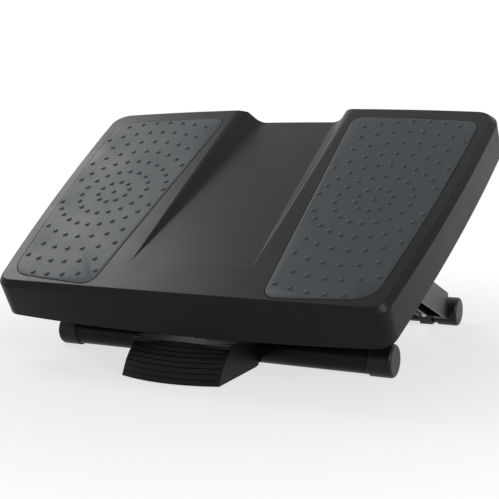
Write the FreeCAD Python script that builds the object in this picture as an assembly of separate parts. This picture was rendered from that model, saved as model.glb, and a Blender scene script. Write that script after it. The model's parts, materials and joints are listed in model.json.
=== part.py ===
import FreeCAD, Part
import math
import os

# A footrest that stands under a desk: a moulded platform with two rubber foot pads tilts on
# a steel axle between two moulded side arms, which stand on two floor tubes. A brake shoe
# grips a disc under the platform and holds the tilt. Lifting the front pedal frees it.
# Millimetres. X runs to the right, Y to the rear, Z up, and the floor is Z = 0.

# Whole object
overall_depth = 347.0
running_gap = 0.06
free_gap = 0.3

# Floor tubes and their rubber end caps
tube_r = 14.0
tube_wall = 1.6
cap_r = 15.5
cap_flat = 0.4
cap_length = 23.0
cap_edge_r = 3.0
cap_neck = 2.5
cap_plug = 18.0
plug_rib = 2.0
tube_spacing = 229.5
front_past_arm = 13.5
rear_past_arm = 8.5

# Axle and tilt
axle_r = 6.0
axle_height = 72.0
axle_back = 92.6
tilt_rest = 30.0
tilt_level = 0.0

# Platform shell, measured in the platform's own frame with the axle as its origin
top_above_axle = 97.0
shell_height = 40.0
shell_front_reach = 163.5
shell_rear_reach = 170.5
rear_width = 463.0
front_width = 400.0
rim_front_bow = 8.4
top_front_bow = 1.0
rear_bow = 11.4
side_bow = 6.2
front_lean = 8.5
shell_draft = 0.8
shell_wall = 3.0
facet_width = 4.8
facet_drop = 5.5
facet_edge_r = 1.2
front_corner_r = 18.0
rear_corner_r = 24.0
rim_lip = 1.5

# Sunken middle of the platform
ramp_half = 64.0
ramp_drop = 20.3
ramp_start = -110.0
ramp_start_drop = 0.1
ramp_flank = 16.2
ramp_round = 8.0

# Foot pads
pad_thickness = 3.0
pad_proud = 0.5
pad_gap = 0.6
pad_inner_front = 89.0
pad_inner_rear = 76.0
pad_side_margin = 16.5
pad_front_margin = 13.5
pad_rear_margin = 22.0
pad_front_bow = 12.0
pad_rear_bow = 11.0
pad_corner_r = 13.0
pad_toe_corner_r = 26.0

# Massage bumps in rings round the middle of each pad
bump_r = 3.0
bump_height = 1.3
bump_first_ring = 17.6
bump_pitch = 20.0
bump_counts = (10, 18, 26, 30, 36, 45, 50)
bump_centre = 145.4
bump_edge = 3.2
bump_inner_edge = 5.6

# Ribs inside the shell
rib_thickness = 2.5
rib_depth = 14.0
rib_inner_x = 45.0
rib_flange_gap = 1.25
rib_past_arm = 6.5
rib_y = (-115.0, -60.0, 60.0, 115.0)

# Side arms
arm_outer = 168.5
arm_width = 32.0
arm_wall = 3.0
arm_depth = 27.0
leg_rise = 2.5
arm_hub_r = 17.0
saddle_wall = 4.6
saddle_floor = 1.2
saddle_width = 13.5

# Pivot brackets of the platform
bracket_clear = 5.5
bracket_thickness = 7.0
bracket_r = 33.0
bracket_foot = 76.0
flange_thickness = 5.0
flange_width = 33.5
flange_drop = 11.0
boss_r = 6.0
screw_r = 2.0
screw_head_r = 4.0
screw_head_h = 2.6
screw_length = 12.0
screw_inset = 7.0
web_thickness = 4.0
bracket_window_top = 0.45
bracket_window_low = 0.3
bracket_window_gap = 4.0

# Bushes, spacers and stop pins
bush_wall = 3.0
bush_flange = 2.0
bush_flange_r = 12.5
spacer_wall = 3.0
stop_r = 3.0
stop_radius = 24.0
stop_angle = -21.0
slot_gap = 0.35

# Brake disc
disc_r = 44.0
disc_thickness = 10.0
disc_from = 140.0
disc_to = 215.0
disc_hub_r = 14.0
disc_top = 66.0
disc_flange_x = 22.0
disc_flange_y = 32.0
disc_boss_r = 6.0
disc_window_low = 26.0
disc_window_gap = 6.0

# Brake lever and shoe
shoe_angle = 190.0
shoe_thickness = 5.0
shoe_span = 26.0
shoe_width = 12.0
lever_up = 26.0
lever_down = 18.0
lever_plate = 4.0
lever_head = 5.0
lever_eye_r = 6.5
lever_pin_r = 3.0

# Lever bracket on the front tube
cheek_inner = 13.0
cheek_thickness = 5.0
cheek_ring_wall = 4.0
cheek_hub_r = 8.0
cheek_foot_z = 4.0

# Link between the pedal and the lever
link_pin_r = 2.5
link_half = 3.7
link_eye_r = 5.0
link_height = 7.0
link_slack = 0.8
horn_back = 14.0
horn_up = 21.0
horn_eye_r = 6.0

# Pedal
pedal_half = 51.0
pedal_bow = 9.5
pedal_lip_z = 1.3
pedal_top = 33.0
pedal_deck_z = 27.0
pedal_deck_fall = 1.0
pedal_wall = 3.2
pedal_treads = 8
pedal_groove = 1.4
pedal_hub_width = 14.0
pedal_hub_wall = 5.0
pedal_hub_open = 4.0

# Corners of the pedal's front face, as shares of its depth to the tube and of its height
pedal_face = ((0.03, 0.212), (0.075, 0.455), (0.13, 0.636), (0.19, 0.788), (0.27, 1.0))

# Where the pedal's top slopes down behind its crest, as shares of its depth to the tube
pedal_slope_from = 0.137
pedal_slope_to = 0.294
pedal_deck_to = 0.412
pedal_web_from = 0.078

# Springs on the lever pin
spring_wire = 0.5
spring_turns = 3.0

# Places worked out from the sizes above
tube_z = cap_r - cap_flat
rear_tube_y = overall_depth / 2 - cap_r
front_tube_y = rear_tube_y - tube_spacing
axle_y = front_tube_y + axle_back
axle_bore_r = axle_r + running_gap
rim_w = top_above_axle - shell_height
recess_w = top_above_axle - (pad_thickness - pad_proud)
ceiling_w = recess_w - shell_wall
crease_w = top_above_axle - facet_drop
shell_front = -shell_front_reach
shell_rear = shell_rear_reach
shell_depth = shell_rear - shell_front
ramp_slope = ramp_drop / (shell_rear - ramp_start)
arm_inner = arm_outer - arm_width
front_half = arm_outer + front_past_arm
rear_half = arm_outer + rear_past_arm
bracket_x = arm_inner - bracket_clear - bracket_thickness
flange_x = bracket_x + bracket_thickness - flange_width
rib_x = (rib_inner_x, flange_x - rib_flange_gap - rib_thickness / 2, arm_outer + rib_past_arm)
lever_y = axle_y + (disc_r + free_gap + shoe_thickness) * math.cos(math.radians(shoe_angle)) \
    - lever_up * math.sin(math.radians(180.0 - shoe_angle))
lever_z = axle_height + (disc_r + free_gap + shoe_thickness) * math.sin(math.radians(shoe_angle)) \
    - lever_up * math.cos(math.radians(180.0 - shoe_angle))
tail_y = lever_y
tail_z = lever_z - lever_down
horn_y = front_tube_y + horn_back
horn_z = tube_z + horn_up


def vec(x, y, z):
    return FreeCAD.Vector(x, y, z)


def box(x0, x1, y0, y1, z0, z1):
    return Part.makeBox(x1 - x0, y1 - y0, z1 - z0, vec(x0, y0, z0))


def rod_x(radius, x0, x1, y, z):
    return Part.makeCylinder(radius, x1 - x0, vec(x0, y, z), vec(1, 0, 0))


def rod_z(radius, x, y, z0, z1):
    return Part.makeCylinder(radius, z1 - z0, vec(x, y, z0), vec(0, 0, 1))


def plate_x(points, x0, x1):
    """A flat plate between x0 and x1, from its outline in Y and Z."""
    corners = [vec(x0, y, z) for y, z in points]
    outline = Part.makePolygon(corners + [corners[0]])
    return Part.Face(outline).extrude(vec(x1 - x0, 0, 0))


def bar_x(y0, z0, y1, z1, width, x0, x1):
    """A straight bar of the given width between two points, as a plate along X."""
    length = math.hypot(y1 - y0, z1 - z0)
    side_y = -(z1 - z0) / length * width / 2
    side_z = (y1 - y0) / length * width / 2
    points = [(y0 + side_y, z0 + side_z), (y1 + side_y, z1 + side_z),
              (y1 - side_y, z1 - side_z), (y0 - side_y, z0 - side_z)]
    return plate_x(points, x0, x1)


def fuse(shapes):
    whole = shapes[0].fuse(shapes[1:]) if len(shapes) > 1 else shapes[0]
    return whole.removeSplitter()


def mirrored(shape):
    return shape.mirror(vec(0, 0, 0), vec(1, 0, 0))


def on_platform(shape):
    """Puts a piece from the platform's own frame at its place, tilted as at rest."""
    placed = shape.copy()
    placed.rotate(vec(0, 0, 0), vec(1, 0, 0), tilt_rest)
    placed.translate(vec(0, axle_y, axle_height))
    return placed


def save(name, shape):
    solids = shape.Solids
    for solid in solids:
        if not solid.isValid() or solid.Volume <= 0:
            print("check", name)
    kept = solids[0] if len(solids) == 1 else Part.makeCompound(solids)
    kept.exportStep(os.path.join("parts", name + ".step"))
    print(name, len(solids), round(kept.Volume))


# Platform shell

def side_edge(y):
    """Half the shell's width at its rim, at depth y in the platform's frame."""
    share = (y - shell_front) / shell_depth
    bowed_out = side_bow * (1.0 - (2.0 * share - 1.0) ** 2)
    return front_width / 2 + share * (rear_width - front_width) / 2 + bowed_out


def rounded_wire(edges, corners, radii, z):
    """A closed outline with its corners rounded, each by its own radius."""
    plate = Part.Face(Part.Wire(edges)).extrude(vec(0, 0, 1))
    for corner, radius in zip(corners, radii):
        post = [e for e in plate.Edges
                if e.BoundBox.ZLength > 0.99 and abs(e.BoundBox.XMin - corner.x) < 0.01
                and abs(e.BoundBox.YMin - corner.y) < 0.01]
        plate = plate.makeFillet(radius, post)
    floor = [f for f in plate.Faces if f.BoundBox.ZMax < z + 0.01]
    return floor[0].OuterWire


def outline(inset, level, z):
    """The shell's plan outline as it is at height level, drawn in by inset and set at z."""
    share = (level - rim_w) / (crease_w - rim_w)
    drawn_in = inset + shell_draft * share
    bow = rim_front_bow + share * (top_front_bow - rim_front_bow)
    front_mid = shell_front + front_lean * share + inset
    rear_mid = shell_rear - drawn_in
    front = front_mid + bow
    rear = rear_mid - rear_bow
    front_x = side_edge(front) - drawn_in
    rear_x = side_edge(rear) - drawn_in
    side_y = (front + rear) / 2
    side_x = side_edge(side_y) - drawn_in
    corners = [vec(-front_x, front, z), vec(front_x, front, z),
               vec(rear_x, rear, z), vec(-rear_x, rear, z)]
    edges = [Part.Arc(corners[0], vec(0, front_mid, z), corners[1]).toShape(),
             Part.Arc(corners[1], vec(side_x, side_y, z), corners[2]).toShape(),
             Part.Arc(corners[2], vec(0, rear_mid, z), corners[3]).toShape(),
             Part.Arc(corners[3], vec(-side_x, side_y, z), corners[0]).toShape()]
    front_r = front_corner_r - inset
    rear_r = rear_corner_r - inset
    return rounded_wire(edges, corners, [front_r, front_r, rear_r, rear_r], z)


def outer_form():
    """The shell's outer form: upright walls, a leaning front and a facet round the top."""
    form = Part.makeLoft([outline(0.0, rim_w, rim_w), outline(0.0, crease_w, crease_w),
                          outline(facet_width, crease_w, top_above_axle)], True, True)
    creases = []
    for level in (crease_w, top_above_axle):
        creases.extend([e for e in form.Edges if abs(e.BoundBox.ZMin - level) < 0.01
                        and abs(e.BoundBox.ZMax - level) < 0.01])
    return form.makeFillet(facet_edge_r, creases)


def hollow_form():
    """The shell's hollow, an even wall inside the outer form and open below."""
    low = rim_w - rim_lip
    return Part.makeLoft([outline(shell_wall, low, low),
                          outline(shell_wall, ceiling_w, ceiling_w)], True, True)


def rounding(start, corner, end):
    """The arc that rounds a corner, between two points as far from it as each other."""
    to_start = start - corner
    to_end = end - corner
    half = to_start.getAngle(to_end) / 2
    inward = (to_start + to_end).normalize()
    reach = to_start.Length
    middle = corner + inward * (reach / math.cos(half) - reach * math.tan(half))
    return Part.Arc(start, middle, end).toShape()


def ramp_section(y, top, depth):
    """The sunken middle's section at y, with rounded crests and feet, open to above."""
    share = depth / ramp_drop
    flank = ramp_flank * share
    round_off = ramp_round * share
    slant = math.hypot(flank, depth)
    over = top + 2 * ramp_drop
    edges = []
    feet = []
    tops = []
    for side in (1, -1):
        crest = vec(side * ramp_half, y, top)
        foot = vec(side * (ramp_half - flank), y, top - depth)
        down = (foot - crest) * (round_off / slant)
        level = vec(side * round_off, 0, 0)
        edges.append(rounding(crest + level, crest, crest + down))
        edges.append(Part.makeLine(crest + down, foot - down))
        edges.append(rounding(foot - down, foot, foot - level))
        edges.append(Part.makeLine(vec(side * (ramp_half + round_off), y, over), crest + level))
        feet.append(foot - level)
        tops.append(vec(side * (ramp_half + round_off), y, over))
    edges.append(Part.makeLine(feet[0], feet[1]))
    edges.append(Part.makeLine(tops[1], tops[0]))
    return Part.Wire(Part.__sortEdges__(edges))


def ramp_space(drop):
    """The space above the sunken middle, lowered by drop for the shell's underside."""
    top = top_above_axle - drop
    start = ramp_start + ramp_start_drop / ramp_slope
    end = 2 * shell_rear
    return Part.makeLoft([ramp_section(start, top, ramp_start_drop),
                          ramp_section(end, top, ramp_slope * (end - ramp_start))], True, True)


def pad_inner_x(y):
    """The straight inner edge of the right foot pad, at depth y."""
    share = (y - shell_front) / shell_depth
    return pad_inner_front + share * (pad_inner_rear - pad_inner_front)


def pad_outline_solid(grow, w0, w1):
    """The right foot pad's plan, grown all round, between two heights."""
    reach = front_width / 2
    inner_front = pad_inner_front - grow
    inner_rear = pad_inner_rear - grow

    def front_y(x):
        return shell_front + pad_front_margin - grow + pad_front_bow * (x / reach) ** 2

    def rear_y(x):
        return shell_rear - pad_rear_margin + grow - pad_rear_bow * (x / reach) ** 2

    def outer_x(y):
        return side_edge(y) - pad_side_margin + grow

    outer_front = outer_x(front_y(reach))
    outer_rear = outer_x(rear_y(reach))
    corners = [vec(inner_front, front_y(inner_front), w0),
               vec(outer_front, front_y(outer_front), w0),
               vec(outer_rear, rear_y(outer_rear), w0),
               vec(inner_rear, rear_y(inner_rear), w0)]
    mid_front = (inner_front + outer_front) / 2
    mid_rear = (inner_rear + outer_rear) / 2
    mid_y = (corners[1].y + corners[2].y) / 2
    edges = [Part.Arc(corners[0], vec(mid_front, front_y(mid_front), w0), corners[1]).toShape(),
             Part.Arc(corners[1], vec(outer_x(mid_y), mid_y, w0), corners[2]).toShape(),
             Part.Arc(corners[2], vec(mid_rear, rear_y(mid_rear), w0), corners[3]).toShape(),
             Part.makeLine(corners[3], corners[0])]
    radii = [pad_corner_r + grow, pad_toe_corner_r + grow, pad_corner_r + grow,
             pad_corner_r + grow]
    wire = rounded_wire(edges, corners, radii, w0)
    return Part.Face(wire).extrude(vec(0, 0, w1 - w0))


def bracket_screw_places():
    """Where the right pivot bracket's screws stand, in the platform's frame."""
    low_x = flange_x + screw_inset
    high_x = bracket_x - screw_inset
    reach = bracket_foot / 2 - screw_inset
    return [(x, y) for x in (low_x, high_x) for y in (-reach, reach)]


def disc_screw_places():
    reach_x = disc_flange_x - screw_inset
    reach_y = disc_flange_y - screw_inset
    return [(x, y) for x in (-reach_x, reach_x) for y in (-reach_y, reach_y)]


def shell_ribs():
    """A grid of ribs that stand down from the top into the hollow."""
    low = ceiling_w - rib_depth
    bars = []
    for x in rib_x:
        for side in (-1, 1):
            middle = side * x
            bars.append(box(middle - rib_thickness / 2, middle + rib_thickness / 2,
                            shell_front, shell_rear, low, top_above_axle))
    for y in rib_y:
        bars.append(box(-rear_width / 2, rear_width / 2,
                        y - rib_thickness / 2, y + rib_thickness / 2, low, top_above_axle))
    grid = bars[0].fuse(bars[1:])
    slope = plate_x([(shell_front, low), (ramp_start, low),
                     (shell_rear, low - ramp_slope * (shell_rear - ramp_start)),
                     (shell_rear, top_above_axle), (shell_front, top_above_axle)],
                    -rear_width / 2, rear_width / 2)
    return grid.common(slope)


def screw_bosses():
    """Posts that the brackets and the disc are screwed to."""
    posts = []
    low = ceiling_w - flange_drop
    for x, y in bracket_screw_places():
        for side in (-1, 1):
            posts.append(rod_z(boss_r, side * x, y, low, top_above_axle))
    for x, y in disc_screw_places():
        posts.append(rod_z(disc_boss_r, x, y, disc_top, top_above_axle))
    return posts


def screw_holes():
    holes = []
    low = ceiling_w - flange_drop
    depth = screw_length - flange_thickness
    for x, y in bracket_screw_places():
        for side in (-1, 1):
            holes.append(rod_z(screw_r, side * x, y, low - 1.0, low + depth))
    for x, y in disc_screw_places():
        holes.append(rod_z(screw_r, x, y, disc_top - 1.0, disc_top + depth))
    return holes


def platform_shell():
    outer = outer_form().cut(ramp_space(0.0))
    under_ramp = ramp_space(top_above_axle - ceiling_w)
    hollow = hollow_form().cut([under_ramp, shell_ribs()] + screw_bosses())
    right = pad_outline_solid(pad_gap, recess_w, top_above_axle + pad_thickness)
    return outer.cut([hollow, right, mirrored(right)] + screw_holes())


def bump_places():
    """Bump centres on the right pad: the middle one and the rings round it."""
    places = [(bump_centre, 0.0)]
    for ring, count in enumerate(bump_counts):
        radius = bump_first_ring + ring * bump_pitch
        for step in range(count):
            angle = 2 * math.pi * step / count + math.pi / 2
            places.append((bump_centre + radius * math.cos(angle), radius * math.sin(angle)))
    return places


def foot_pad():
    """The right foot pad, with its bumps."""
    top = recess_w + pad_thickness
    plate = pad_outline_solid(0.0, recess_w, top)
    room = pad_outline_solid(-bump_edge, recess_w, top)
    bump_sphere_r = (bump_r ** 2 + bump_height ** 2) / (2 * bump_height)
    arch = Part.makeSphere(bump_sphere_r, vec(0, 0, bump_height - bump_sphere_r))
    dome = arch.common(box(-bump_r, bump_r, -bump_r, bump_r, -0.5 * pad_proud, bump_height))
    domes = []
    for x, y in bump_places():
        clear_inside = x - pad_inner_x(y) > bump_inner_edge
        if clear_inside and room.isInside(vec(x, y, recess_w + pad_thickness / 2), 0.01, True):
            bump = dome.copy()
            bump.translate(vec(x, y, top))
            domes.append(bump)
    return plate.fuse(domes)


# Pivot brackets, bushes and brake disc of the platform

def stop_slot():
    """The curved slot in a bracket that the arm's stop pin runs in."""
    first = stop_angle - tilt_rest
    last = stop_angle - tilt_level
    half = stop_r + slot_gap
    x0 = bracket_x - 1.0
    x1 = bracket_x + bracket_thickness + 1.0
    ring = rod_x(stop_radius + half, x0, x1, 0, 0).cut(rod_x(stop_radius - half, x0, x1, 0, 0))
    reach = 2 * bracket_r
    span = [(0.0, 0.0)]
    for angle in (first, (first + last) / 2, last):
        span.append((reach * math.cos(math.radians(angle)), reach * math.sin(math.radians(angle))))
    slot = ring.common(plate_x(span, x0, x1))
    ends = []
    for angle in (first, last):
        ends.append(rod_x(half, x0, x1, stop_radius * math.cos(math.radians(angle)),
                          stop_radius * math.sin(math.radians(angle))))
    return slot.fuse(ends)


def pivot_bracket():
    """The right bracket: a plate with the axle's bush bore, under a screwed flange."""
    flange_top = ceiling_w - flange_drop
    x0 = bracket_x
    x1 = bracket_x + bracket_thickness
    half = bracket_foot / 2
    bush_r = axle_bore_r + bush_wall
    body = plate_x([(-half, flange_top), (-bracket_r, 0.0), (bracket_r, 0.0),
                    (half, flange_top)], x0, x1)
    body = body.fuse([rod_x(bracket_r, x0, x1, 0, 0),
                      box(flange_x, x1, -half, half,
                          flange_top - flange_thickness, flange_top)])
    for y in (-half / 2, half / 2):
        near = y - web_thickness / 2
        points = [vec(x0, near, flange_top - flange_thickness),
                  vec(flange_x + 2 * screw_inset, near, flange_top - flange_thickness),
                  vec(x0, near, flange_top - flange_width)]
        web = Part.Face(Part.makePolygon(points + [points[0]]))
        body = body.fuse(web.extrude(vec(0, web_thickness, 0)))
    body = body.cut([rod_x(bush_r, x0 - 1.0, x1 + 1.0, 0, 0), stop_slot()])
    wide = bracket_window_top * half
    narrow = bracket_window_low * half
    window_low = bracket_r + bracket_window_gap
    window = plate_x([(-wide, flange_top - flange_width), (-narrow, window_low),
                      (narrow, window_low), (wide, flange_top - flange_width)],
                     x0 - 1.0, x1 + 1.0)
    body = body.cut(window)
    for x, y in bracket_screw_places():
        body = body.cut(rod_z(screw_r + running_gap, x, y, flange_top - flange_thickness - 1.0,
                              flange_top + 1.0))
    return body.removeSplitter()


def pivot_bush():
    """The right plastic bush, pressed into the bracket, with a flange on its inner face."""
    x0 = bracket_x - bush_flange
    x1 = bracket_x + bracket_thickness
    sleeve = rod_x(axle_bore_r + bush_wall, x0, x1, 0, 0)
    flange = rod_x(bush_flange_r, x0, bracket_x, 0, 0)
    return sleeve.fuse(flange).cut(rod_x(axle_bore_r, x0 - 1.0, x1 + 1.0, 0, 0)).removeSplitter()


def screw(x, y, head_top):
    """A pan-head screw that stands up from under a flange."""
    head = rod_z(screw_head_r, x, y, head_top - screw_head_h, head_top)
    rim = [e for e in head.Edges if e.BoundBox.ZMax < head_top - screw_head_h / 2]
    head = head.makeFillet(screw_head_h / 3, rim)
    return head.fuse(rod_z(screw_r, x, y, head_top, head_top + screw_length)).removeSplitter()


def bracket_screws():
    under = ceiling_w - flange_drop - flange_thickness
    screws = []
    for x, y in bracket_screw_places():
        for side in (-1, 1):
            screws.append(screw(side * x, y, under))
    return Part.makeCompound(screws)


def disc_screws():
    under = disc_top - flange_thickness
    return Part.makeCompound([screw(x, y, under) for x, y in disc_screw_places()])


def brake_disc():
    """The sector that the brake shoe grips, hung from the shell and steadied by the axle."""
    x0 = -disc_thickness / 2
    x1 = disc_thickness / 2
    first = math.radians(disc_from)
    last = math.radians(disc_to)
    reach = 2 * disc_r
    steps = 4
    fan = [(0.0, 0.0)]
    for step in range(steps + 1):
        angle = first + (last - first) * step / steps
        fan.append((reach * math.cos(angle), reach * math.sin(angle)))
    sector = rod_x(disc_r, x0, x1, 0, 0).common(plate_x(fan, x0, x1))
    under = disc_top - flange_thickness
    neck = plate_x([(-disc_flange_y, under), (disc_r * math.cos(first), disc_r * math.sin(first)),
                    (0.0, -disc_hub_r), (disc_hub_r, 0.0), (disc_flange_y, under)], x0, x1)
    flange = box(-disc_flange_x, disc_flange_x, -disc_flange_y, disc_flange_y, under, disc_top)
    body = sector.fuse([neck, flange, rod_x(disc_hub_r, x0, x1, 0, 0)])
    window_top = under - disc_window_gap
    window = plate_x([(-0.55 * disc_flange_y, window_top),
                      (-0.35 * disc_flange_y, disc_window_low),
                      (0.2 * disc_flange_y, disc_window_low),
                      (0.5 * disc_flange_y, window_top)], x0 - 1.0, x1 + 1.0)
    body = body.cut([rod_x(axle_bore_r, x0 - 1.0, x1 + 1.0, 0, 0), window])
    for x, y in disc_screw_places():
        body = body.cut(rod_z(screw_r + running_gap, x, y, under - 1.0, disc_top + 1.0))
    return body.removeSplitter()


# Base: tubes, caps, arms and axle

def floor_tube(half, y):
    bore_r = tube_r - tube_wall
    reach = half - cap_length + cap_neck + cap_plug / 2
    tube = rod_x(tube_r, -reach, reach, y, tube_z)
    tube = tube.cut(rod_x(bore_r, -reach - 1.0, reach + 1.0, y, tube_z))
    for side in (-1, 1):
        tube = tube.cut(arm_screw_space(screw_r, side * arm_screw_x(), y, 0.0, tube_r + 1.0))
    return tube


def end_cap(half, y):
    """The right end cap: a rubber cup over the tube's end, with a plug in its bore."""
    inner = half - cap_length
    reach = inner + cap_neck + cap_plug / 2
    cup = rod_x(cap_r, inner, half, y, tube_z)
    outer_edge = [e for e in cup.Edges if e.BoundBox.XMin > half - 0.01]
    cup = cup.makeFillet(cap_edge_r, outer_edge)
    inner_edge = [e for e in cup.Edges if e.BoundBox.XMax < inner + 0.01]
    cup = cup.makeChamfer((cap_r - tube_r) * 0.8, inner_edge)
    cup = cup.cut(rod_x(tube_r, inner - 1.0, reach, y, tube_z))
    plug_r = tube_r - tube_wall
    plug = rod_x(plug_r, inner, reach, y, tube_z)
    plug = plug.cut(rod_x(plug_r - plug_rib, inner - 1.0, reach - plug_rib, y, tube_z))
    cup = cup.fuse(plug)
    floor_cut = box(inner - 1.0, half + 1.0, y - cap_r, y + cap_r, -cap_r, 0.0)
    return cup.cut(floor_cut).removeSplitter()


def arm_screw_x():
    return arm_inner + saddle_width / 2


def arm_screw_space(radius, x, y, near, far):
    """A round space level with a tube's middle, from near to far on its axle side."""
    turn = 1.0 if axle_y > y else -1.0
    return Part.makeCylinder(radius, far - near, vec(x, y + turn * near, tube_z),
                             vec(0, turn, 0))


def leg_line(y):
    """A leg's direction from the axle to the tube at y, and its length."""
    run = y - axle_y
    fall = axle_height - tube_z - leg_rise
    length = math.hypot(run, fall)
    return run / length, -fall / length, length


def leg_point(y, along, up):
    """A point on a leg: along it from the axle, and up square to it."""
    dir_y, dir_z, length = leg_line(y)
    turn = 1.0 if dir_y > 0 else -1.0
    return axle_y + dir_y * along - turn * dir_z * up, axle_height + dir_z * along + abs(dir_y) * up


def leg_plate(y, start, stop, low, high, x0, x1):
    """A straight piece of a leg, between two distances and two heights square to it."""
    return plate_x([leg_point(y, start, high), leg_point(y, stop, high),
                    leg_point(y, stop, low), leg_point(y, start, low)], x0, x1)


def past_tube(y, offset, x0, x1):
    """All the space beyond a tube, seen from the axle, starting offset past its middle."""
    turn = 1.0 if y > axle_y else -1.0
    near = y + turn * offset
    far = y + turn * 4 * cap_r
    return box(x0, x1, min(near, far), max(near, far), -cap_r, axle_height)


def side_arm():
    """The right arm: an open-bottomed channel from the axle down to both tubes."""
    panel_in = arm_outer - arm_wall
    saddle_x = arm_inner + saddle_width
    half = arm_depth / 2
    solids = [rod_x(arm_hub_r, arm_inner, arm_outer, axle_y, axle_height)]
    spaces = []
    for y in (front_tube_y, rear_tube_y):
        length = leg_line(y)[2]
        leg = leg_plate(y, 0.0, length, -half, half, arm_inner, arm_outer)
        ring = rod_x(tube_r + saddle_wall, arm_inner, saddle_x, y, tube_z)
        solids.append(leg.fuse(ring).cut([past_tube(y, 0.0, arm_inner - 1.0, arm_outer + 1.0),
                                          past_tube(y, -cap_r - free_gap, saddle_x,
                                                    arm_outer + 1.0)]))
        start = arm_hub_r + arm_wall
        stop = length - tube_r - 2 * saddle_wall
        for x0, x1 in ((arm_inner + arm_wall, saddle_x - arm_wall), (saddle_x, panel_in)):
            spaces.append(leg_plate(y, start, stop, -arm_depth, half - arm_wall, x0, x1))
        spaces.append(rod_x(tube_r, arm_inner - 1.0, arm_outer + 1.0, y, tube_z))
        seat = tube_r + saddle_wall
        spaces.append(arm_screw_space(screw_r, arm_screw_x(), y, 0.0, seat + 1.0))
        spaces.append(arm_screw_space(screw_head_r + free_gap, arm_screw_x(), y, seat,
                                      seat + 2 * arm_depth))
    stop_y = axle_y + stop_radius * math.cos(math.radians(stop_angle))
    stop_z = axle_height + stop_radius * math.sin(math.radians(stop_angle))
    stop_boss = rod_x(stop_r + arm_wall, arm_inner, saddle_x, stop_y, stop_z)
    floor_space = box(arm_inner - 1.0, arm_outer + 1.0, -overall_depth, overall_depth,
                      -cap_r, saddle_floor)
    body = fuse(solids).cut(spaces).fuse(stop_boss)
    axle_seat = rod_x(axle_r, arm_inner - 1.0, panel_in - arm_wall, axle_y, axle_height)
    stop_seat = rod_x(stop_r, arm_inner - 1.0, saddle_x, stop_y, stop_z)
    return body.cut([floor_space, axle_seat, stop_seat]).removeSplitter()


def arm_screws():
    """The four screws that hold the arms on the tubes, level with the tubes' middle."""
    screws = []
    seat = tube_r + saddle_wall
    for y in (front_tube_y, rear_tube_y):
        for side in (-1, 1):
            x = side * arm_screw_x()
            head = arm_screw_space(screw_head_r, x, y, seat, seat + screw_head_h)
            shank = arm_screw_space(screw_r, x, y, tube_r - 2 * tube_wall, seat)
            screws.append(head.fuse(shank).removeSplitter())
    return Part.makeCompound(screws)


def pivot_axle():
    reach = arm_outer - 2 * arm_wall - free_gap
    axle = rod_x(axle_r, -reach, reach, axle_y, axle_height)
    ends = [e for e in axle.Edges if e.BoundBox.XLength < 0.01]
    return axle.makeChamfer(axle_r / 6, ends)


def axle_spacer():
    """The right tube that keeps the bracket and the disc apart on the axle."""
    x0 = disc_thickness / 2 + free_gap
    x1 = bracket_x - bush_flange - free_gap
    tube = rod_x(axle_bore_r + spacer_wall, x0, x1, axle_y, axle_height)
    return tube.cut(rod_x(axle_bore_r, x0 - 1.0, x1 + 1.0, axle_y, axle_height))


def stop_pins():
    y = axle_y + stop_radius * math.cos(math.radians(stop_angle))
    z = axle_height + stop_radius * math.sin(math.radians(stop_angle))
    pin = rod_x(stop_r, bracket_x - 2.0, arm_inner + saddle_width, y, z)
    return Part.makeCompound([pin, mirrored(pin)])


# Lever bracket and brake lever

def lever_bracket():
    """Two cheeks clamped round the front tube that carry the lever's pin."""
    x1 = cheek_inner + cheek_thickness
    ring_r = tube_r + cheek_ring_wall
    cheeks = []
    for side in (-1, 1):
        a = side * cheek_inner
        b = side * x1
        lo = min(a, b)
        hi = max(a, b)
        ring = rod_x(ring_r, lo, hi, front_tube_y, tube_z)
        web = plate_x([(front_tube_y + 4.0, tube_z + ring_r - 2.0),
                       (lever_y - 5.0, lever_z + cheek_hub_r - 1.5),
                       (lever_y + cheek_hub_r - 1.0, lever_z - 3.0),
                       (lever_y + 4.0, cheek_foot_z), (front_tube_y, cheek_foot_z)], lo, hi)
        hub = rod_x(cheek_hub_r, lo, hi, lever_y, lever_z)
        cheeks.append(fuse([ring, web, hub]))
    floor_web = box(-x1, x1, front_tube_y + ring_r - 1.0, lever_y + 4.0, cheek_foot_z,
                    cheek_foot_z + 4.0)
    body = fuse(cheeks + [floor_web])
    below = box(-2 * x1, 2 * x1, -overall_depth, overall_depth, -cap_r, cheek_foot_z)
    body = body.cut([below, rod_x(tube_r, -x1 - 1.0, x1 + 1.0, front_tube_y, tube_z)])
    return body.cut(rod_x(lever_pin_r, -x1 - 1.0, x1 + 1.0, lever_y, lever_z)).removeSplitter()


def lever_pin():
    reach = cheek_inner + cheek_thickness
    pin = rod_x(lever_pin_r, -reach, reach, lever_y, lever_z)
    head = rod_x(lever_pin_r + 2.0, reach, reach + 2.0, lever_y, lever_z)
    clip = rod_x(lever_pin_r + 2.0, -reach - 2.0, -reach, lever_y, lever_z)
    return fuse([pin, head, clip])


def shoe_point(radius, shift=0.0):
    """A point at the shoe's bearing from the axle, moved along the rim by shift."""
    angle = math.radians(shoe_angle)
    y = axle_y + radius * math.cos(angle) - shift * math.sin(angle)
    z = axle_height + radius * math.sin(angle) + shift * math.cos(angle)
    return y, z


def brake_shoe():
    """The rubber block that grips the disc's rim."""
    x = shoe_width / 2
    inner = disc_r + free_gap
    outer = inner + shoe_thickness
    half = shoe_span / 2
    slab = plate_x([shoe_point(inner - 3.0, -half), shoe_point(outer, -half),
                    shoe_point(outer, half), shoe_point(inner - 3.0, half)], -x, x)
    return slab.cut(rod_x(inner, -x - 1.0, x + 1.0, axle_y, axle_height))


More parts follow.
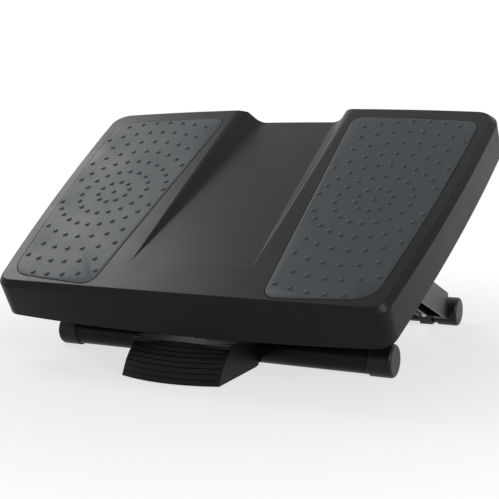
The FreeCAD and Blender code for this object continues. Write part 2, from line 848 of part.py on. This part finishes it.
def brake_lever():
    """Two plates joined by a head block behind the shoe, on the lever pin."""
    x0 = link_half + free_gap
    x1 = x0 + lever_plate
    back = disc_r + free_gap + shoe_thickness
    half = shoe_span / 2
    head = plate_x([shoe_point(back, -half), shoe_point(back + lever_head, -half),
                    shoe_point(back + lever_head, half), shoe_point(back, half)], -x1, x1)
    pieces = [head]
    for side in (-1, 1):
        lo = min(side * x0, side * x1)
        hi = max(side * x0, side * x1)
        pieces.append(plate_x([(lever_y + lever_eye_r, lever_z), shoe_point(back, half),
                               shoe_point(back + lever_head, half / 2),
                               (lever_y - lever_eye_r, lever_z)], lo, hi))
        pieces.append(rod_x(lever_eye_r, lo, hi, lever_y, lever_z))
        pieces.append(bar_x(lever_y, lever_z, tail_y, tail_z, 1.5 * link_eye_r, lo, hi))
        pieces.append(rod_x(link_eye_r, lo, hi, tail_y, tail_z))
    body = fuse(pieces)
    pin_hole = rod_x(lever_pin_r + running_gap, -x1 - 1.0, x1 + 1.0, lever_y, lever_z)
    tail_hole = rod_x(link_pin_r, -x1 - 1.0, x1 + 1.0, tail_y, tail_z)
    return body.cut([pin_hole, tail_hole]).removeSplitter()


def cross_pin(y, z):
    """A headed pin across two plates that hold an eye of the link."""
    reach = link_half + free_gap + lever_plate
    pin = rod_x(link_pin_r, -reach, reach, y, z)
    head = rod_x(link_pin_r + 1.5, reach, reach + 1.5, y, z)
    return pin.fuse(head).removeSplitter()


def link_rod():
    body = bar_x(horn_y, horn_z, tail_y, tail_z, link_height, -link_half, link_half)
    eyes = [rod_x(link_eye_r, -link_half, link_half, horn_y, horn_z),
            rod_x(link_eye_r, -link_half, link_half, tail_y, tail_z)]
    body = fuse([body] + eyes)
    x = link_half + 1.0
    return body.cut([rod_x(link_pin_r + running_gap, -x, x, horn_y, horn_z),
                     rod_x(link_pin_r + link_slack, -x, x, tail_y, tail_z)])


def lever_spring():
    """The right coil spring on the lever pin, between the lever and its bracket."""
    x0 = link_half + free_gap + lever_plate + free_gap + spring_wire
    x1 = cheek_inner - free_gap - spring_wire
    coil_r = lever_pin_r + free_gap + spring_wire
    pitch = (x1 - x0) / spring_turns
    coil = Part.makeHelix(pitch, x1 - x0, coil_r)
    start = vec(coil_r, 0, 0)
    circle = Part.Wire(Part.Circle(start, vec(0, 1, 0), spring_wire).toShape())
    pipe = Part.BRepOffsetAPI.MakePipeShell(coil)
    pipe.setFrenetMode(True)
    pipe.add(circle)
    pipe.build()
    pipe.makeSolid()
    spring = pipe.shape()
    spring.rotate(vec(0, 0, 0), vec(0, 1, 0), 90.0)
    spring.translate(vec(x0, lever_y, lever_z))
    return spring


# Pedal

def pedal_lip():
    return -overall_depth / 2


def pedal_profile():
    """The pedal's outer face in Y and Z: from the lip on the floor up to its crest."""
    lip = pedal_lip()
    back = front_tube_y - lip
    return [(lip, pedal_lip_z)] + [(lip + along * back, up * pedal_top) for along, up in pedal_face]


def pedal_top_line():
    """The pedal's top in Y and Z, from behind its crest down to the deck."""
    back = front_tube_y - pedal_lip()
    start = pedal_profile()[-1][0] + pedal_bow
    return [(start + pedal_slope_from * back, pedal_top - pedal_deck_fall),
            (start + pedal_slope_to * back, pedal_deck_z),
            (start + pedal_deck_to * back, pedal_deck_z)]


def bowed(points):
    """A vertical profile swept round the pedal's bowed front."""
    bow_r = (pedal_half ** 2 + pedal_bow ** 2) / (2 * pedal_bow)
    centre = vec(0, pedal_lip() + bow_r, 0)
    corners = [vec(0, y, z) for y, z in points]
    face = Part.Face(Part.makePolygon(corners + [corners[0]]))
    swing = 2 * math.degrees(math.asin(pedal_half / bow_r))
    face.rotate(centre, vec(0, 0, 1), -swing)
    return face.revolve(centre, vec(0, 0, 1), 2 * swing)


def pedal_front():
    """The ribbed front face, as a shell of even wall with a groove between treads."""
    edge = pedal_profile()
    inner = [(y + pedal_wall, z - 0.6 * pedal_wall) for y, z in edge[1:]]
    inner[-1] = (edge[-1][0], edge[-1][1] - pedal_wall)
    foot = (edge[0][0] + pedal_wall, edge[0][1])
    face = bowed(edge + inner[::-1] + [foot])
    lengths = []
    for (y0, z0), (y1, z1) in zip(edge[:-1], edge[1:]):
        lengths.append(math.hypot(y1 - y0, z1 - z0))
    total = sum(lengths)
    for tread in range(1, pedal_treads):
        along = total * tread / pedal_treads
        index = 0
        while along > lengths[index]:
            along -= lengths[index]
            index += 1
        y0, z0 = edge[index]
        y1, z1 = edge[index + 1]
        ty = (y1 - y0) / lengths[index]
        tz = (z1 - z0) / lengths[index]
        y = y0 + ty * along
        z = z0 + tz * along
        half = pedal_groove / 2
        deep = pedal_groove * 0.8
        notch = [(y - ty * half - tz * 1.0, z - tz * half + ty * 1.0),
                 (y + ty * half - tz * 1.0, z + tz * half + ty * 1.0),
                 (y + ty * half * 0.4 + tz * deep, z + tz * half * 0.4 - ty * deep),
                 (y - ty * half * 0.4 + tz * deep, z - tz * half * 0.4 - ty * deep)]
        face = face.cut(bowed(notch))
    cap = box(-pedal_half, pedal_half, -overall_depth, front_tube_y, 0.0, 2 * pedal_top)
    return face.common(cap)


def pedal_side_outline():
    """The side wall's outline, from the lip back over the tube."""
    edge = [(y + pedal_bow, z) for y, z in pedal_profile()]
    hub_top = tube_z + tube_r + pedal_hub_wall
    rest = [(front_tube_y - 6.0, hub_top - 1.0), (front_tube_y, hub_top),
            (front_tube_y, pedal_hub_open), (front_tube_y - tube_r - 6.0, pedal_lip_z)]
    return edge + pedal_top_line() + rest


def pedal():
    """A hollow moulding with a ribbed front, hooked over the front tube."""
    sides = []
    for side in (-1, 1):
        outer = side * pedal_half
        inner = side * (pedal_half - pedal_wall)
        wall = plate_x(pedal_side_outline(), min(outer, inner), max(outer, inner))
        hub_in = side * (pedal_half - pedal_hub_width)
        hub = rod_x(tube_r + pedal_hub_wall, min(outer, hub_in), max(outer, hub_in),
                    front_tube_y, tube_z)
        sides.extend([wall, hub])
    crest_y = pedal_profile()[-1][0] + 1.0
    upper = [(crest_y, pedal_top)] + pedal_top_line()
    lower = [(y, z - pedal_wall) for y, z in upper]
    deck = plate_x(upper + lower[::-1], -pedal_half, pedal_half)
    web_y = crest_y + pedal_bow + pedal_web_from * (front_tube_y - pedal_lip())
    horn_in = link_half + free_gap
    webs = []
    top_y = front_tube_y - 2.0
    for side in (-1, 1):
        lo = min(side * horn_in, side * (horn_in + lever_plate))
        hi = max(side * horn_in, side * (horn_in + lever_plate))
        webs.append(plate_x([(web_y, pedal_top - 2.0), (web_y, pedal_lip_z + 4.0),
                             (front_tube_y - tube_r - 4.0, pedal_lip_z + 4.0),
                             (front_tube_y, tube_z),
                             (horn_y, horn_z - horn_eye_r), (horn_y, horn_z + horn_eye_r),
                             (top_y, horn_z + horn_eye_r), upper[-1]], lo, hi))
        webs.append(rod_x(horn_eye_r, lo, hi, horn_y, horn_z))
    body = sides[0].fuse(sides[1:]).fuse(deck).fuse(pedal_front()).fuse(webs)
    hook_r = tube_r + running_gap
    x = pedal_half + 1.0
    below = box(-x, x, front_tube_y - tube_r, front_tube_y + 2 * tube_r, -cap_r, pedal_hub_open)
    tube_space = rod_x(hook_r, -x, x, front_tube_y, tube_z)
    mid = link_half + free_gap + lever_plate + 1.0
    tube_space = tube_space.fuse(rod_x(tube_r + 1.0, -mid, mid, front_tube_y, tube_z))
    ring_room = []
    for side in (-1, 1):
        lo = min(side * (cheek_inner - 1.0), side * (cheek_inner + cheek_thickness + 1.0))
        hi = max(side * (cheek_inner - 1.0), side * (cheek_inner + cheek_thickness + 1.0))
        ring_room.append(rod_x(tube_r + cheek_ring_wall + 1.0, lo, hi, front_tube_y, tube_z))
    pin_hole = rod_x(link_pin_r, -mid - 1.0, mid + 1.0, horn_y, horn_z)
    return body.cut([below, tube_space, pin_hole] + ring_room).removeSplitter()


def build():
    os.makedirs("parts", exist_ok=True)
    right_pad = foot_pad()
    bracket = pivot_bracket()
    bush = pivot_bush()
    arm = side_arm()
    spacer = axle_spacer()
    spring = lever_spring()
    save("platform_shell", on_platform(platform_shell()))
    save("right_foot_pad", on_platform(right_pad))
    save("left_foot_pad", on_platform(mirrored(right_pad)))
    save("right_pivot_bracket", on_platform(bracket))
    save("left_pivot_bracket", on_platform(mirrored(bracket)))
    save("right_pivot_bush", on_platform(bush))
    save("left_pivot_bush", on_platform(mirrored(bush)))
    save("bracket_screws", on_platform(bracket_screws()))
    save("brake_disc", on_platform(brake_disc()))
    save("disc_screws", on_platform(disc_screws()))
    for name, half, y in (("front", front_half, front_tube_y), ("rear", rear_half, rear_tube_y)):
        cap = end_cap(half, y)
        save(name + "_tube", floor_tube(half, y))
        save(name + "_right_cap", cap)
        save(name + "_left_cap", mirrored(cap))
    save("right_side_arm", arm)
    save("left_side_arm", mirrored(arm))
    save("arm_screws", arm_screws())
    save("pivot_axle", pivot_axle())
    save("right_axle_spacer", spacer)
    save("left_axle_spacer", mirrored(spacer))
    save("stop_pins", stop_pins())
    save("lever_bracket", lever_bracket())
    save("lever_pin", lever_pin())
    save("brake_lever", brake_lever())
    save("brake_shoe", brake_shoe())
    save("lever_link_pin", cross_pin(tail_y, tail_z))
    save("link_rod", link_rod())
    save("pedal_link_pin", cross_pin(horn_y, horn_z))
    save("pedal", pedal())
    save("right_lever_spring", spring)
    save("left_lever_spring", mirrored(spring))


build()
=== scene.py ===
import math
import json

import bpy
import bmesh
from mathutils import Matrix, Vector


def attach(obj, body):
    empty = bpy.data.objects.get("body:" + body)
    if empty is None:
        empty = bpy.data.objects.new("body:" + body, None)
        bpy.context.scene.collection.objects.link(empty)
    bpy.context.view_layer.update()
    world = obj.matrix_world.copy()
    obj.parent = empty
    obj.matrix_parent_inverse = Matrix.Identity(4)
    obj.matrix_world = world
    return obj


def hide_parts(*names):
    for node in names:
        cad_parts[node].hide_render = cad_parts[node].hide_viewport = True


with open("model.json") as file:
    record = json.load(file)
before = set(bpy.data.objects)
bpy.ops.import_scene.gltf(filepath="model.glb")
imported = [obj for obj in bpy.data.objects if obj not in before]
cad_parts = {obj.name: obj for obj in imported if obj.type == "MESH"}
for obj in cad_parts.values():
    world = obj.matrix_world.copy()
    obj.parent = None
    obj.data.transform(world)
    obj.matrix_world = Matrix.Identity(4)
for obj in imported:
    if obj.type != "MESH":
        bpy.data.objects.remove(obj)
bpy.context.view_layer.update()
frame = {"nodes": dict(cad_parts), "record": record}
nodes = frame["nodes"]

# The camera stands where the photograph was taken from.
CAMERA_PLACE = (0.4765, -0.9377, 0.2540)
CAMERA_TURN = (81.55, 1.12, 26.76)
CAMERA_LENS = 74.67

# A foot pad's outer edge is rounded by this much. Its bumps meet it at a flatter angle.
PAD_EDGE_R = 0.0009
PAD_EDGE_STEPS = 3
PAD_EDGE_ANGLE = math.radians(60.0)
FLAT_ANGLE = math.radians(1.0)
SMOOTH_ANGLE = math.radians(35.0)
SAME_PLACE = 0.00001

# Noise values mostly lie between these two.
NOISE_LOW = 0.3
NOISE_HIGH = 0.7
CLOUD_SCALE = 22.0
METAL_CLOUD_SCALE = 60.0
METAL_GRAIN_SCALE = 900.0

# The floor is lit paint near the part and turns into the white background between these reaches.
FLOOR_HALF = 6.0
FLOOR_PAINT = (0.9, 0.9, 0.9, 1.0)
FLOOR_FADE_FROM = 0.15
FLOOR_FADE_TO = 0.55
FLOOR_LEAST_WHITE = 0.70

# What the camera and gloss see of the surround, and what it lights the part with.
SURROUND_SEEN = 1.0
SURROUND_LIGHT = 0.14
AIM = (0.0, 0.0, 0.1)


def new_material(name):
    material = bpy.data.materials.new(name)
    material.use_nodes = True
    shader = material.node_tree.nodes["Principled BSDF"]
    return material, material.node_tree, shader


def grain(tree, scale, detail):
    """The value of a noise in the object's own space."""
    place = tree.nodes.new("ShaderNodeTexCoord")
    noise = tree.nodes.new("ShaderNodeTexNoise")
    noise.inputs["Scale"].default_value = scale
    noise.inputs["Detail"].default_value = detail
    tree.links.new(place.outputs["Object"], noise.inputs["Vector"])
    return noise.outputs["Fac"]


def spread(tree, value, low, high):
    """Turns a noise value's usual spread into low to high."""
    change = tree.nodes.new("ShaderNodeMapRange")
    change.inputs["From Min"].default_value = NOISE_LOW
    change.inputs["From Max"].default_value = NOISE_HIGH
    change.inputs["To Min"].default_value = low
    change.inputs["To Max"].default_value = high
    tree.links.new(value, change.inputs["Value"])
    return change.outputs["Result"]


def tint(tree, shader, value, dark, light):
    """Colours the shader from dark to light by a noise value."""
    ramp = tree.nodes.new("ShaderNodeValToRGB")
    ramp.color_ramp.elements[0].position = NOISE_LOW
    ramp.color_ramp.elements[0].color = dark + (1.0,)
    ramp.color_ramp.elements[1].position = NOISE_HIGH
    ramp.color_ramp.elements[1].color = light + (1.0,)
    tree.links.new(value, ramp.inputs["Fac"])
    tree.links.new(ramp.outputs["Color"], shader.inputs["Base Color"])


def dent(tree, shader, value, strength, distance):
    """A fine surface grain."""
    bump = tree.nodes.new("ShaderNodeBump")
    bump.inputs["Strength"].default_value = strength
    bump.inputs["Distance"].default_value = distance
    tree.links.new(value, bump.inputs["Height"])
    tree.links.new(bump.outputs["Normal"], shader.inputs["Normal"])


def moulded(name, dark, light, rough, gloss, grain_size=0.0007, depth=0.00006):
    """Moulded plastic, rubber or paint: a cloudy tint and roughness with a fine grain."""
    material, tree, shader = new_material(name)
    cloud = grain(tree, CLOUD_SCALE, 4.0)
    tint(tree, shader, cloud, dark, light)
    roughness = spread(tree, cloud, rough - 0.04, rough + 0.04)
    tree.links.new(roughness, shader.inputs["Roughness"])
    shader.inputs["Specular IOR Level"].default_value = gloss
    dent(tree, shader, grain(tree, 1.0 / grain_size, 2.0), 0.5, depth)
    return material


def metal(name, colour, rough):
    """Bare or plated steel."""
    material, tree, shader = new_material(name)
    cloud = grain(tree, METAL_CLOUD_SCALE, 3.0)
    tint(tree, shader, cloud, tuple(0.85 * c for c in colour), colour)
    roughness = spread(tree, cloud, rough - 0.05, rough + 0.05)
    tree.links.new(roughness, shader.inputs["Roughness"])
    shader.inputs["Metallic"].default_value = 1.0
    dent(tree, shader, grain(tree, METAL_GRAIN_SCALE, 2.0), 0.2, 0.00003)
    return material


FINISHES = {
    "platform_plastic": moulded("grained_black_plastic", (0.0065, 0.0065, 0.0060),
                                (0.0085, 0.0085, 0.0078), 0.36, 0.145),
    "pad_rubber": moulded("slate_pad_rubber", (0.033, 0.043, 0.049), (0.040, 0.051, 0.058),
                          0.50, 0.27, 0.0005, 0.00008),
    "cap_rubber": moulded("black_cap_rubber", (0.007, 0.007, 0.0065), (0.010, 0.010, 0.0095),
                          0.40, 0.22),
    "arm_plastic": moulded("black_arm_plastic", (0.008, 0.008, 0.0075), (0.011, 0.011, 0.0103),
                           0.38, 0.35),
    "pedal_plastic": moulded("satin_pedal_plastic", (0.006, 0.006, 0.006),
                             (0.008, 0.008, 0.0077), 0.42, 0.12),
    "tube_steel": moulded("powder_coated_tube", (0.006, 0.006, 0.006), (0.008, 0.008, 0.008),
                          0.35, 0.13, 0.0009, 0.00004),
    "inner_plastic": moulded("dark_inner_plastic", (0.014, 0.014, 0.015),
                             (0.019, 0.019, 0.020), 0.5, 0.3),
    "bush_plastic": moulded("natural_bush_plastic", (0.55, 0.53, 0.48), (0.64, 0.62, 0.57),
                            0.42, 0.5),
    "shoe_rubber": moulded("black_shoe_rubber", (0.012, 0.012, 0.012), (0.017, 0.017, 0.017),
                           0.6, 0.3),
    "bright_steel": metal("zinc_plated_steel", (0.62, 0.62, 0.60), 0.32),
    "spring_steel": metal("spring_wire_steel", (0.42, 0.42, 0.43), 0.3),
}

slot_of = {part["node"]: part["material_slot"] for part in frame["record"]["subparts"]}
for name, piece in nodes.items():
    piece.data.materials.clear()
    piece.data.materials.append(FINISHES[slot_of[name]])


def foot_pad(node):
    """The rubber mat of one foot, from its solid, with a rounded edge and smooth bumps."""
    mesh = nodes[node].data.copy()
    mesh.name = node + "_mat"
    work = bmesh.new()
    work.from_mesh(mesh)
    bmesh.ops.remove_doubles(work, verts=work.verts, dist=SAME_PLACE)
    bmesh.ops.dissolve_limit(work, angle_limit=FLAT_ANGLE, verts=work.verts, edges=work.edges)
    work.normal_update()
    rim = [edge for edge in work.edges
           if len(edge.link_faces) == 2 and edge.calc_face_angle(0.0) > PAD_EDGE_ANGLE]
    bmesh.ops.bevel(work, geom=rim, offset=PAD_EDGE_R, offset_type="OFFSET",
                    segments=PAD_EDGE_STEPS, profile=0.5, affect="EDGES", material=-1,
                    clamp_overlap=True)
    bmesh.ops.recalc_face_normals(work, faces=work.faces)
    for face in work.faces:
        face.smooth = True
    for edge in work.edges:
        if len(edge.link_faces) == 2 and edge.calc_face_angle(0.0) > SMOOTH_ANGLE:
            edge.smooth = False
    work.to_mesh(mesh)
    work.free()
    mat = bpy.data.objects.new(node + "_mat", mesh)
    bpy.context.scene.collection.objects.link(mat)
    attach(mat, "platform")
    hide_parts(node)


for pad_node in ("right_foot_pad", "left_foot_pad"):
    foot_pad(pad_node)


def stage_floor():
    """A pale floor that shows the part's shadow and fades into the white background."""
    mesh = bpy.data.meshes.new("studio_floor")
    work = bmesh.new()
    bmesh.ops.create_grid(work, x_segments=1, y_segments=1, size=FLOOR_HALF)
    work.to_mesh(mesh)
    work.free()
    floor = bpy.data.objects.new("studio_floor", mesh)
    bpy.context.scene.collection.objects.link(floor)
    material = bpy.data.materials.new("pale_floor")
    material.use_nodes = True
    tree = material.node_tree
    tree.nodes.clear()
    out = tree.nodes.new("ShaderNodeOutputMaterial")
    paint = tree.nodes.new("ShaderNodeBsdfDiffuse")
    paint.inputs["Color"].default_value = FLOOR_PAINT
    glow = tree.nodes.new("ShaderNodeEmission")
    place = tree.nodes.new("ShaderNodeTexCoord")
    length = tree.nodes.new("ShaderNodeVectorMath")
    length.operation = "LENGTH"
    fade = tree.nodes.new("ShaderNodeMapRange")
    fade.interpolation_type = "SMOOTHSTEP"
    fade.inputs["From Min"].default_value = FLOOR_FADE_FROM
    fade.inputs["From Max"].default_value = FLOOR_FADE_TO
    fade.inputs["To Min"].default_value = FLOOR_LEAST_WHITE
    seen = tree.nodes.new("ShaderNodeMath")
    seen.operation = "MULTIPLY"
    mix = tree.nodes.new("ShaderNodeMixShader")
    tree.links.new(place.outputs["Object"], length.inputs[0])
    tree.links.new(length.outputs["Value"], fade.inputs["Value"])
    tree.links.new(fade.outputs["Result"], seen.inputs[0])
    tree.links.new(seen_rays(tree), seen.inputs[1])
    tree.links.new(seen.outputs["Value"], mix.inputs["Fac"])
    tree.links.new(paint.outputs["BSDF"], mix.inputs[1])
    tree.links.new(glow.outputs["Emission"], mix.inputs[2])
    tree.links.new(mix.outputs["Shader"], out.inputs["Surface"])
    mesh.materials.append(material)


def seen_rays(tree):
    """1 for camera, glossy and transmission rays, so that gloss shows the background too."""
    path = tree.nodes.new("ShaderNodeLightPath")
    first = tree.nodes.new("ShaderNodeMath")
    first.operation = "MAXIMUM"
    both = tree.nodes.new("ShaderNodeMath")
    both.operation = "MAXIMUM"
    tree.links.new(path.outputs["Is Camera Ray"], first.inputs[0])
    tree.links.new(path.outputs["Is Glossy Ray"], first.inputs[1])
    tree.links.new(first.outputs["Value"], both.inputs[0])
    tree.links.new(path.outputs["Is Transmission Ray"], both.inputs[1])
    return both.outputs["Value"]


def surround():
    """White to the camera and in gloss, and a weak light on everything else."""
    world = bpy.data.worlds.new("studio_surround")
    bpy.context.scene.world = world
    world.use_nodes = True
    tree = world.node_tree
    back = tree.nodes["Background"]
    level = tree.nodes.new("ShaderNodeMapRange")
    level.inputs["To Min"].default_value = SURROUND_LIGHT
    level.inputs["To Max"].default_value = SURROUND_SEEN
    back.inputs["Color"].default_value = (1.0, 1.0, 1.0, 1.0)
    tree.links.new(seen_rays(tree), level.inputs["Value"])
    tree.links.new(level.outputs["Result"], back.inputs["Strength"])


def softbox(name, place, size, power):
    """A square area lamp that looks at the part."""
    lamp = bpy.data.lights.new(name, "AREA")
    lamp.shape = "RECTANGLE"
    lamp.size = size
    lamp.size_y = size
    lamp.energy = power
    holder = bpy.data.objects.new(name, lamp)
    holder.location = place
    holder.rotation_euler = (Vector(AIM) - Vector(place)).to_track_quat("-Z", "Y").to_euler()
    bpy.context.scene.collection.objects.link(holder)


def camera():
    """The photograph's own view."""
    lens = bpy.data.cameras.new("photo_camera")
    lens.lens = CAMERA_LENS
    lens.sensor_width = 36.0
    lens.clip_start = 0.01
    holder = bpy.data.objects.new("photo_camera", lens)
    holder.location = CAMERA_PLACE
    holder.rotation_euler = [math.radians(a) for a in CAMERA_TURN]
    bpy.context.scene.collection.objects.link(holder)
    bpy.context.scene.camera = holder


stage_floor()
surround()
softbox("rear_left_softbox", (-1.60, 0.55, 1.60), 0.8, 17.0)
softbox("right_softbox", (1.8, -0.85, 0.75), 0.7, 17.0)
camera()
bpy.context.scene.view_settings.view_transform = "Standard"
